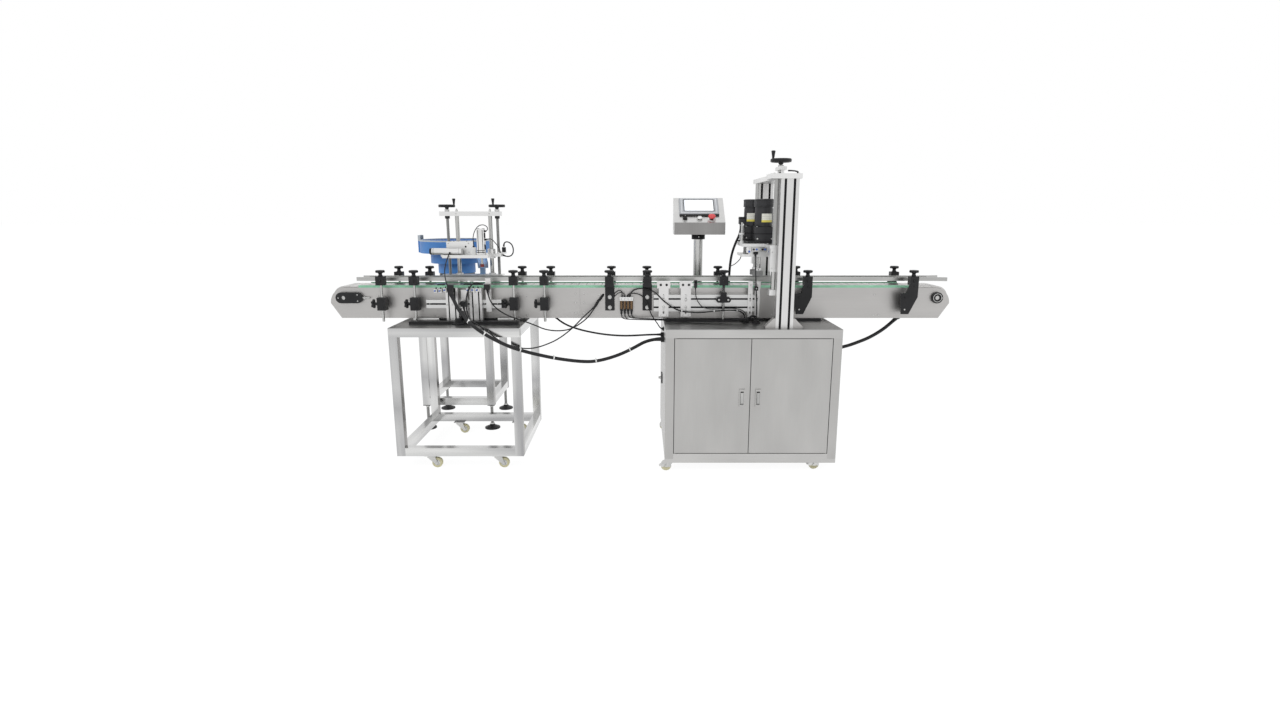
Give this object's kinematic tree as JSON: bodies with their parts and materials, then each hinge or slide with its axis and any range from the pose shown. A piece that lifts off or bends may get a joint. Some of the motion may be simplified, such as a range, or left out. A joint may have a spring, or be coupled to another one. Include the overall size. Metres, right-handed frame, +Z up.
{
  "type": "automatic bottle capping machine",
  "caption": "Slat-chain bottle line on a cart and cabinet with a vibratory cap feeder, a gantry screw-capping head, guide rails and an operator panel.",
  "frame": {"origin": "middle of the bounding box in X and Y, on the floor", "axes": "+X along the line from the idler end to the drive end, +Y away from the operator, +Z up"},
  "size_m": [3, 1.1414, 1.4722],
  "materials": {
    "satin_steel": "satin stainless sheet",
    "polished_steel": "polished stainless tube",
    "bright_steel": "bright drawn steel",
    "zinc_steel": "zinc plated",
    "anodised_aluminium": "clear anodised extrusion",
    "machined_aluminium": "machined and bead blasted",
    "black_metal": "black enamel",
    "blue_coating": "blue bowl coating",
    "pale_blue_coating": "light blue coating",
    "black_plastic": "moulded",
    "grey_plastic": "moulded",
    "green_plastic": "smooth",
    "red_plastic": "smooth",
    "cream_plastic": "moulded tread",
    "brass_fittings": "brown lacquered brass",
    "tyre_rubber": "ground rubber tyre",
    "black_cable": "cable sheath"
  },
  "bodies": {
    "machine": {"cabinet_frame": "satin_steel", "cabinet_panels": "satin_steel", "cabinet_casters": "zinc_steel", "cart_frame": "polished_steel", "feeder_stand": "polished_steel", "levelling_feet": "black_plastic", "side_plates": "satin_steel", "slat_chain": "bright_steel", "wear_strips": "green_plastic", "line_fittings": "black_plastic", "end_bearings": "black_plastic", "conveyor_motor": "black_metal", "rail_brackets": "black_plastic", "clamp_knobs": "black_plastic", "slot_bars": "anodised_aluminium", "air_manifold": "brass_fittings", "feeder_columns": "bright_steel", "bowl": "blue_coating", "bowl_drive": "black_metal", "cap_chute": "pale_blue_coating", "gantry_columns": "anodised_aluminium", "gantry_top": "machined_aluminium", "guide_rods": "polished_steel", "panel_post": "satin_steel", "control_box": "satin_steel", "touch_screen": "grey_plastic", "feeder_harness": "black_cable", "placer_cable": "black_cable", "sensor_cable": "black_cable", "line_cable": "black_cable", "motor_conduit": "black_cable"},
    "front_rail": {"front_rail": "bright_steel"},
    "rear_rail": {"rear_rail": "bright_steel"},
    "idler": {"idler_roller": "bright_steel"},
    "drive": {"drive_roller": "bright_steel"},
    "left_door": {"left_door": "satin_steel"},
    "right_door": {"right_door": "satin_steel"},
    "left_latch": {"left_latch": "black_plastic"},
    "right_latch": {"right_latch": "black_plastic"},
    "left_screw": {"left_lift_screw": "bright_steel"},
    "right_screw": {"right_lift_screw": "bright_steel"},
    "feeder_carriage": {"feeder_carriage": "machined_aluminium"},
    "placing_rod": {"placing_rod": "bright_steel"},
    "head_screw": {"head_lift_screw": "bright_steel"},
    "head": {"head_carriage": "machined_aluminium", "cap_motors": "black_metal", "head_hose": "black_cable"},
    "front_cap_wheel": {"front_cap_wheel": "tyre_rubber"},
    "rear_cap_wheel": {"rear_cap_wheel": "tyre_rubber"},
    "emergency_stop": {"emergency_stop": "red_plastic"},
    "push_button": {"push_button": "green_plastic"},
    "selector": {"selector_switch": "black_plastic"},
    "fork_front_left": {"caster_fork_front_left": "zinc_steel"},
    "wheel_front_left": {"caster_wheel_front_left": "cream_plastic"},
    "fork_front_right": {"caster_fork_front_right": "zinc_steel"},
    "wheel_front_right": {"caster_wheel_front_right": "cream_plastic"},
    "fork_rear_left": {"caster_fork_rear_left": "zinc_steel"},
    "wheel_rear_left": {"caster_wheel_rear_left": "cream_plastic"},
    "fork_rear_right": {"caster_fork_rear_right": "zinc_steel"},
    "wheel_rear_right": {"caster_wheel_rear_right": "cream_plastic"}
  },
  "joints": [
    {"name": "front_rail_slide", "type": "slide", "parent": "machine", "child": "front_rail", "axis": [0, 1, 0], "range_m": [-0.02, 0.02]},
    {"name": "rear_rail_slide", "type": "slide", "parent": "machine", "child": "rear_rail", "axis": [0, -1, 0], "range_m": [-0.02, 0.02]},
    {"name": "idler_turn", "type": "hinge", "parent": "machine", "child": "idler", "pos_m": [-1.432, -0.203, 0.792], "axis": [0, 1, 0], "continuous": true},
    {"name": "drive_turn", "type": "hinge", "parent": "machine", "child": "drive", "pos_m": [1.436, -0.203, 0.792], "axis": [0, 1, 0], "continuous": true},
    {"name": "left_door_hinge", "type": "hinge", "parent": "machine", "child": "left_door", "pos_m": [0.162, -0.553, 0.366], "axis": [0, 0, -1], "range_deg": [0, 110]},
    {"name": "right_door_hinge", "type": "hinge", "parent": "machine", "child": "right_door", "pos_m": [0.868, -0.553, 0.366], "axis": [0, 0, 1], "range_deg": [0, 110]},
    {"name": "left_latch_tilt", "type": "hinge", "parent": "left_door", "child": "left_latch", "pos_m": [0.468, -0.5595, 0.382], "axis": [-1, 0, 0], "range_deg": [0, 25], "stiffness_Nm_per_rad": 0.02},
    {"name": "right_latch_tilt", "type": "hinge", "parent": "right_door", "child": "right_latch", "pos_m": [0.542, -0.5595, 0.382], "axis": [-1, 0, 0], "range_deg": [0, 25], "stiffness_Nm_per_rad": 0.02},
    {"name": "left_screw_turn", "type": "hinge", "parent": "machine", "child": "left_screw", "pos_m": [-0.965, -0.09, 1.2], "axis": [0, 0, 1], "range_deg": [0, 5760]},
    {"name": "right_screw_turn", "type": "hinge", "parent": "machine", "child": "right_screw", "pos_m": [-0.715, -0.09, 1.2], "axis": [0, 0, 1], "range_deg": [0, 5760]},
    {"name": "feeder_lift", "type": "slide", "parent": "machine", "child": "feeder_carriage", "axis": [0, 0, 1], "range_m": [0, 0.08]},
    {"name": "placing_stroke", "type": "slide", "parent": "feeder_carriage", "child": "placing_rod", "axis": [0, 0, -1], "range_m": [0, 0.04]},
    {"name": "head_screw_turn", "type": "hinge", "parent": "machine", "child": "head_screw", "pos_m": [0.648, -0.33, 1.4], "axis": [0, 0, 1], "range_deg": [0, 5400]},
    {"name": "head_lift", "type": "slide", "parent": "machine", "child": "head", "axis": [0, 0, 1], "range_m": [0, 0.075]},
    {"name": "front_wheel_spin", "type": "hinge", "parent": "head", "child": "front_cap_wheel", "pos_m": [0.573, -0.246, 0.905], "axis": [0, 0, 1], "continuous": true},
    {"name": "rear_wheel_spin", "type": "hinge", "parent": "head", "child": "rear_cap_wheel", "pos_m": [0.573, -0.16, 0.905], "axis": [0, 0, 1], "continuous": true},
    {"name": "emergency_stop_press", "type": "slide", "parent": "machine", "child": "emergency_stop", "axis": [0, 0.6371, -0.7707], "range_m": [0, 0.005]},
    {"name": "push_button_press", "type": "slide", "parent": "machine", "child": "push_button", "axis": [0, 0.6371, -0.7707], "range_m": [0, 0.003], "stiffness_N_per_m": 400},
    {"name": "selector_turn", "type": "hinge", "parent": "machine", "child": "selector", "pos_m": [0.23, -0.01919, 1.1622], "axis": [0, -0.6371, 0.7707], "range_deg": [0, 60]},
    {"name": "swivel_front_left", "type": "hinge", "parent": "machine", "child": "fork_front_left", "pos_m": [-0.995, -0.486, 0.05], "axis": [0, 0, 1], "continuous": true},
    {"name": "roll_front_left", "type": "hinge", "parent": "fork_front_left", "child": "wheel_front_left", "pos_m": [-0.97, -0.486, 0.025], "axis": [0, 1, 0], "continuous": true},
    {"name": "swivel_front_right", "type": "hinge", "parent": "machine", "child": "fork_front_right", "pos_m": [-0.675, -0.486, 0.05], "axis": [0, 0, 1], "continuous": true},
    {"name": "roll_front_right", "type": "hinge", "parent": "fork_front_right", "child": "wheel_front_right", "pos_m": [-0.65, -0.486, 0.025], "axis": [0, 1, 0], "continuous": true},
    {"name": "swivel_rear_left", "type": "hinge", "parent": "machine", "child": "fork_rear_left", "pos_m": [-0.995, 0.046, 0.05], "axis": [0, 0, 1], "continuous": true},
    {"name": "roll_rear_left", "type": "hinge", "parent": "fork_rear_left", "child": "wheel_rear_left", "pos_m": [-0.97, 0.046, 0.025], "axis": [0, 1, 0], "continuous": true},
    {"name": "swivel_rear_right", "type": "hinge", "parent": "machine", "child": "fork_rear_right", "pos_m": [-0.675, 0.046, 0.05], "axis": [0, 0, 1], "continuous": true},
    {"name": "roll_rear_right", "type": "hinge", "parent": "fork_rear_right", "child": "wheel_rear_right", "pos_m": [-0.65, 0.046, 0.025], "axis": [0, 1, 0], "continuous": true}
  ],
  "couplings": [
    {"joint": "drive_turn", "follows": "idler_turn", "ratio": 1},
    {"joint": "right_screw_turn", "follows": "feeder_lift", "rad_per_m": 1256.6},
    {"joint": "left_screw_turn", "follows": "feeder_lift", "rad_per_m": 1256.6},
    {"joint": "head_screw_turn", "follows": "head_lift", "rad_per_m": 1256.6}
  ]
}
